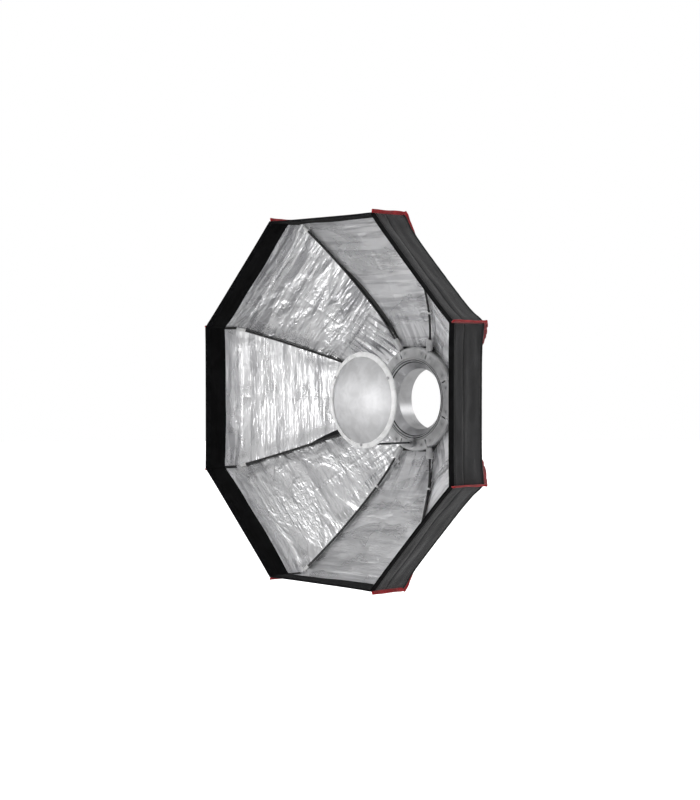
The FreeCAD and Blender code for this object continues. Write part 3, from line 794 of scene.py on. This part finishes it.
CAD_LOOKS = {
    # hub_alloy and adapter_alloy get painted shade in rings where the adapter meets the hub
    "hub_alloy": cast_material("hub_alloy", (0.41, 0.41, 0.415), (0.52, 0.52, 0.525), 0.52, 0.4,
                               joints=(MOUTH_R + 0.0002,)),
    "collar_alloy": cast_material("collar_alloy", (0.012, 0.012, 0.013), (0.030, 0.030, 0.032), 0.5, 0.3),
    "adapter_alloy": turned_material("adapter_alloy", (0.66, 0.66, 0.67), 0.34,
                                     joints=(MOUTH_R, MOUTH_R - 0.0036)),
    "steel": turned_material("steel", (0.42, 0.42, 0.43), 0.36, 0.0008),
    "spring_steel": turned_material("spring_steel", (0.30, 0.30, 0.31), 0.30, 0.0006),
    "socket_grey": cast_material("socket_grey", (0.46, 0.46, 0.465), (0.60, 0.60, 0.605), 0.42, 0.35, 0.0012),
    "rod_black": plastic_material("rod_black", (0.006, 0.006, 0.0065), 0.32, 0.3),
    "tip_white": plastic_material("tip_white", (0.80, 0.80, 0.79), 0.38, 0.1),
    "deflector_satin": turned_material("deflector_satin", (0.66, 0.66, 0.67), 0.49, 0.0016, 0.00003, 0.6),
    "rim_white": plastic_material("rim_white", (0.86, 0.86, 0.86), 0.3, 0.3),
    "stem_dark": turned_material("stem_dark", (0.10, 0.10, 0.105), 0.34, 0.0007),
}


def dress_cad_nodes():
    """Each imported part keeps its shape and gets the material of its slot."""
    for node in frame["nodes"].values():
        for index, slot in enumerate(node.material_slots):
            key = slot.material.name.split(".")[0]
            if key in CAD_LOOKS:
                node.material_slots[index].material = CAD_LOOKS[key]


# ---- cloth pieces ----
def make_sheet(name, cloth, thickness, looks, slot, replaced, rests_on, rows=None):
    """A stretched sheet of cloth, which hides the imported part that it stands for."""
    piece = sheet_mesh(name, cloth, thickness, looks, rows)
    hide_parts(replaced)
    return piece


def make_lining(rib):
    """Silver lining of one gore, from the hub to under the lip."""
    behind = spread(0.0, LINING_KNEE, LINING_STEP)
    along = np.concatenate([behind, spread(LINING_KNEE, LINING.length, LINING_STEP)[1:]])
    knee = len(behind) - 1
    gore = Gore(rib, LINING, along, lining_relief, LINING_STEP, along > LINING_KNEE + 1e-6)
    looks, slot, rod = [LINING_LOOK], "silver_lining", f"rib_rod_{rib}"
    shell, band = f"shell_gore_{rib}", f"band_corner_{rib}"
    piece = make_sheet(f"lining_strip_{rib}", gore.strip(), LINING_T, looks, slot, shell, rod)
    bend_at_knee(piece)
    for side, word in ((-1, "a"), (1, "b")):
        behind, front = gore.panel(side, end=knee + 1), gore.panel(side, start=knee)
        piece = make_sheet(f"lining_panel_{rib}_{word}", behind, LINING_T, looks, slot, shell, rod)
        gather(piece, rib, False)
        piece = make_sheet(f"lining_front_{rib}_{word}", front, LINING_T, looks, slot, band, rod)
        gather(piece, rib, True)


def make_outside(rib, name, line, along, relief, thickness, looks, node, in_band, rows=None):
    """Black cloth of one gore: the shell behind the knee, or the band in front of it."""
    gore = Gore(rib, line, along, relief, SHELL_STEP, np.full(along.shape, in_band))
    rest = thickness, looks, "shell_cloth", node, f"rib_rod_{rib}", rows
    piece = make_sheet(f"{name}_strip_{rib}", gore.strip(), *rest)
    bend_at_knee(piece)
    for side, word in ((-1, "a"), (1, "b")):
        piece = make_sheet(f"{name}_panel_{rib}_{word}", gore.panel(side), *rest)
        gather(piece, rib, in_band)


def make_shell(rib):
    """Black outside of one gore, from the hub to the knee seam."""
    along = spread(0.0, SHELL.length, SHELL_STEP)
    node = f"shell_gore_{rib}"
    make_outside(rib, "shell", SHELL, along, shell_relief, SHELL_T, [SHELL_LOOK], node, False)


def make_band(rib):
    """One corner's share of the front band, with its bound front edge and turned-in lip."""
    back = spread(0.0, BINDING_START, BAND_STEP)
    binding = spread(BINDING_START, BINDING_END, BINDING_STEP)
    lip = spread(BINDING_END, BAND.length, LIP_STEP)
    along = np.concatenate([back[:-1], binding[:-1], lip])
    middle = (along[1:] + along[:-1]) / 2
    rows = [1 if BINDING_START < m < BINDING_END else (2 if m > BINDING_END else 0) for m in middle]
    looks, node = [BAND_LOOK, BINDING_LOOK, LIP_LOOK], f"band_corner_{rib}"
    make_outside(rib, "band", BAND, along, outer_relief, BAND_T, looks, node, True, rows)


def make_collar(rib, name, line, relief, depth, thickness, look):
    """Inner edge of the cloth, from the shell's first row in between the hub plate and the clamp ring."""
    start = np.zeros(1)
    half = float(line.at(start)[0][0] * TAN)
    edge = np.linspace(-1, 1, 33)
    first = np.array([
        cloth_points(rib, 1 if value >= 0 else -1, line, start, np.array([abs(value) * half]), relief)[0][0]
        for value in edge])
    around, reach = np.arctan2(first[:, 2], first[:, 0]), np.hypot(first[:, 0], first[:, 2])
    turn_r, turn_y = HUB_R + COLLAR_GAP, first[:, 1] + 0.0006
    ring_y = (HUB_BACK_Y + CLAMP_FRONT_Y) / 2 + depth
    rows = []
    for t in np.linspace(0, 1, 5)[:-1]:
        rows.append((reach + t * (turn_r - reach), first[:, 1] + 0.0006 * t))
    for turn in np.linspace(0, math.pi / 2, 6):
        r = turn_r - 0.0008 * (1 - math.cos(turn))
        rows.append((np.full(33, r), turn_y + (ring_y - turn_y) * math.sin(turn)))
    rows.append((np.full(33, HUB_R - 0.004), np.full(33, ring_y)))
    grid = np.array([np.stack([r * np.cos(around), y, r * np.sin(around)], 1) for r, y in rows])
    across, along = np.meshgrid(edge * half, -0.002 * np.arange(len(grid)))
    cloth = Cloth(grid, np.stack([across, along, np.full(along.shape, float(rib))], -1))
    piece = make_sheet(name, cloth, thickness, [look], "shell_cloth", f"shell_gore_{rib}", "shell_clamp_ring")
    start, end = (tuple(r * radial(rib_angle(rib))) for r in COLLAR_BEND)
    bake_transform(piece)


# ---- trim ----
def sweep(name, path, ups, sides, profile, coordinates_scale, material, closed=False):
    """A solid with a closed profile (side, up) carried along a path."""
    count, ring = len(path), len(profile)
    points, at = [], []
    length = np.concatenate([[0.0], np.cumsum(np.linalg.norm(np.diff(path, axis=0), axis=1))])
    for i in range(count):
        for j, (over, up) in enumerate(profile):
            points.append(path[i] + over * sides[i] + up * ups[i])
            at.append((j * coordinates_scale, length[i], 0.0))
    faces = []
    for i in range(count if closed else count - 1):
        n = (i + 1) % count
        for j in range(ring):
            m = (j + 1) % ring
            faces.append((i * ring + j, i * ring + m, n * ring + m, n * ring + j))
    if not closed:
        faces += [tuple(range(ring))[::-1], tuple((count - 1) * ring + j for j in range(ring))]
    return add_mesh(name, points, faces, at, [material])


def piping_profile(height, width):
    """A folded tape on edge: two legs that meet in a round fold."""
    legs = [(-width * 0.32, 0.0), (-width * 0.30, height * 0.35), (-width * 0.42, height * 0.62)]
    fold = [(-width * 0.5 * math.cos(a), height * 0.74 + height * 0.26 * math.sin(a))
            for a in np.linspace(0.15, math.pi - 0.15, 7)]
    return legs + fold + [(-x, y) for x, y in reversed(legs)]


def make_piping(rib):
    """Red tape on a corner seam, along the shell and on along the band."""
    angle = rib_angle(rib)
    out, side = radial(angle), tangent(angle)
    along = spread(0.004, SHELL.length - 0.001, 0.005)
    apothem, y, slope = SHELL.at(along)
    ahead = np.linspace(KNEE_Y - 0.002, RIM_Y + 0.004, 18)
    reach = np.concatenate([apothem / COS, np.full(len(ahead), RIM_R - 0.0006)])
    station = np.concatenate([y, ahead])
    lean = np.concatenate([slope, np.full(len(ahead), math.pi / 2)])
    lean[len(along) - 1:len(along) + 1] = (slope[-1] + math.pi / 2) / 2
    tilt = 0.55 * np.array([
        noise.noise(Vector((40 * (r - v), rib * 3.3, 0.5))) for r, v in zip(reach, station)])
    ups = np.sin(lean)[:, None] * out + np.cos(lean)[:, None] * EY + tilt[:, None] * side
    path = reach[:, None] * out + station[:, None] * EY
    sides = np.repeat(side[None], len(path), 0)
    profile = piping_profile(PIPING_H, PIPING_W)
    piece = sweep(f"piping_{rib}", path, ups, sides, profile, 0.0008, RED_LOOK)
    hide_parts(f"corner_piping_{rib}", f"band_corner_{rib}")
    bend_at_knee(piece)


# Black seam allowance that shows beside a rod: width on the side towards the rib before, where it is
# widest and how far it reaches, as parts of the rod's length.
SEAM_SHOWS = {3: (0.0105, 0.33, 0.33), 5: (0.0085, 0.24, 0.30), 7: (0.0010, 0.45, 0.40)}


def lay_tape(name, cloth):
    """A black tape."""
    piece = sheet_mesh(name, cloth, TAPE_T, [SEAM_LOOK])
    return piece


def make_seam_tapes(rib):
    """Black tape on the lining behind some rods, and from each knee to the lip."""
    if rib in SEAM_SHOWS:
        width, middle, reach = SEAM_SHOWS[rib]
        start, end = 0.006, LINING_KNEE - 0.012
        along = spread(start, end, TAPE_STEP)
        t = (along - start) / (end - start)
        swell = np.clip(1 - ((t - middle) / reach) ** 2, 0, 1)
        edges = [0.0006 + (0.0026 + width) * swell, 0.0006 + 0.0008 * swell]
        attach(lay_tape(f"seam_tape_{rib}", tape_grid(rib, along, edges, 0.0007)), f"rib_{rib}")
    along = spread(LINING_KNEE + 0.004, LINING.length + 0.002, TAPE_STEP)
    edges = [np.full(along.shape, TAPE_W)] * 2
    bend_at_knee(lay_tape(f"corner_tape_{rib}", tape_grid(rib, along, edges, 0.0008)))


# Ribs with a loop, and its distance from the axis.
LOOPED = {2: 0.171, 6: 0.178, 1: 0.175, 8: 0.173, 7: 0.176}


def make_loops():
    """White tape loops that tie some rods to the lining."""
    turn = np.linspace(0, 2 * math.pi, 24, endpoint=False)
    stretch = np.where(np.sin(turn) > 0, 1.25, 1.0)
    profile = [(x * LOOP_W / 2, y * LOOP_T / 2) for x, y in ((-1, -1), (1, -1), (1, 1), (-1, 1))]
    for rib, reach in LOOPED.items():
        out, side = radial(rib_angle(rib)), tangent(rib_angle(rib))
        slope = math.asin((reach - ROOT_CENTRE[0]) / ROOT_BEND_R)
        r, y = bend_point(ROOT_CENTRE, ROOT_BEND_R, math.degrees(slope))
        forward = math.cos(slope) * out - math.sin(slope) * EY
        away = math.sin(slope) * out + math.cos(slope) * EY
        ups = np.cos(turn)[:, None] * side + np.sin(turn)[:, None] * away
        path = r * out + y * EY + (LOOP_R * stretch)[:, None] * ups
        sides = np.repeat(forward[None], len(turn), 0)
        piece = sweep(f"rod_loop_{rib}", path, ups, sides, profile, 0.001, LOOP_LOOK, closed=True)
        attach(piece, f"rib_{rib}")


# ---- camera, light and floor ----
CAMERA_AT, CAMERA_LENS, SENSOR_W = (2.3368, -2.3480, 0.0770), 79.67, 36.0
CAMERA_DIP, CAMERA_TURN = 1.38, 47.54      # degrees below level, and from facing +Y towards -X
AIM = (0, -0.15, 0)                        # what the lamps face
LAMPS = {                                  # where each one is, how wide, and its power in watts
    "key": ((3.2, -1.5, 0.9), 1.1, 14),
    "front": ((-0.48, -2.69, -0.15), 1.4, 31),
    "fill": ((-2.7, -1.4, 0.2), 1.2, 12),
    "back": ((1.8, 2.4, 1.6), 1.4, 12),
}
FRONT = (0.41, -0.90, 0.02)                # where the room is a little brighter
FLOOR_Z, FLOOR_R = -0.5, 9.0


def make_camera():
    """The camera that the part is first seen from."""
    data = bpy.data.cameras.new("camera")
    data.lens, data.sensor_width = CAMERA_LENS, SENSOR_W
    camera = bpy.data.objects.new("camera", data)
    camera.location = CAMERA_AT
    camera.rotation_euler = (math.radians(90 - CAMERA_DIP), 0.0, math.radians(CAMERA_TURN))
    bpy.context.scene.collection.objects.link(camera)
    bpy.context.scene.camera = camera


def add_lamp(name, place, size, power):
    """A soft square lamp that faces the part."""
    data = bpy.data.lights.new(name, "AREA")
    data.size, data.energy = size, power
    light = bpy.data.objects.new(name, data)
    light.location = place
    light.rotation_euler = (Vector(AIM) - Vector(place)).to_track_quat("-Z", "Y").to_euler()
    bpy.context.scene.collection.objects.link(light)


def make_studio():
    """White room and floor to the camera, but a patchy room for the foil to mirror, and soft lamps."""
    world = bpy.data.worlds.new("studio")
    world.use_nodes = True
    tree = world.node_tree
    way = add(tree, "ShaderNodeTexCoord").outputs["Generated"]
    ahead = add(tree, "ShaderNodeVectorMath", {0: way, 1: FRONT}, operation="DOT_PRODUCT").outputs["Value"]
    panels = ranged(tree, cloudy(tree, way, 0.42, 1.0), 0.44, 0.56, 0.25, 0.72)
    light = math_node(tree, "ADD", panels, ranged(tree, ahead, 0.75, 1.0, 0.0, 0.05))
    seen = add(tree, "ShaderNodeLightPath").outputs["Is Camera Ray"]
    tree.links.new(mixed(tree, seen, light, (1.0, 1.0, 1.0)), tree.nodes["Background"].inputs[0])
    bpy.context.scene.world = world
    for name, lamp in LAMPS.items():
        add_lamp(name, *lamp)
    bpy.ops.mesh.primitive_circle_add(
        vertices=64, radius=FLOOR_R, fill_type="NGON", location=(0, 0, FLOOR_Z))
    floor = bpy.context.object
    floor.name = "floor"
    material, tree, principled, vector = start_material("floor_paint")
    cloud = cloudy(tree, vector, 0.6, 3.0)
    seen = add(tree, "ShaderNodeLightPath").outputs["Is Camera Ray"]
    colour = mixed(tree, cloud, (0.96, 0.96, 0.96), (0.985, 0.985, 0.985))
    colour = mixed(tree, seen, (0.85, 0.85, 0.85), colour)
    finish_material(tree, principled, colour, 0.8, Emission_Color=(1.0, 1.0, 1.0), Emission_Strength=seen)
    floor.data.materials.append(material)


make_camera()
make_studio()
bpy.context.scene.view_settings.view_transform = "Standard"
dress_cad_nodes()
for number in range(1, RIBS + 1):
    make_lining(number)
    make_shell(number)
    make_band(number)
    make_collar(number, f"lining_collar_{number}", LINING, lining_relief, -0.0005, LINING_T, SEAM_LOOK)
    make_collar(number, f"shell_collar_{number}", SHELL, shell_relief, 0.0004, SHELL_T, SHELL_LOOK)
    make_piping(number)
    make_seam_tapes(number)
make_loops()
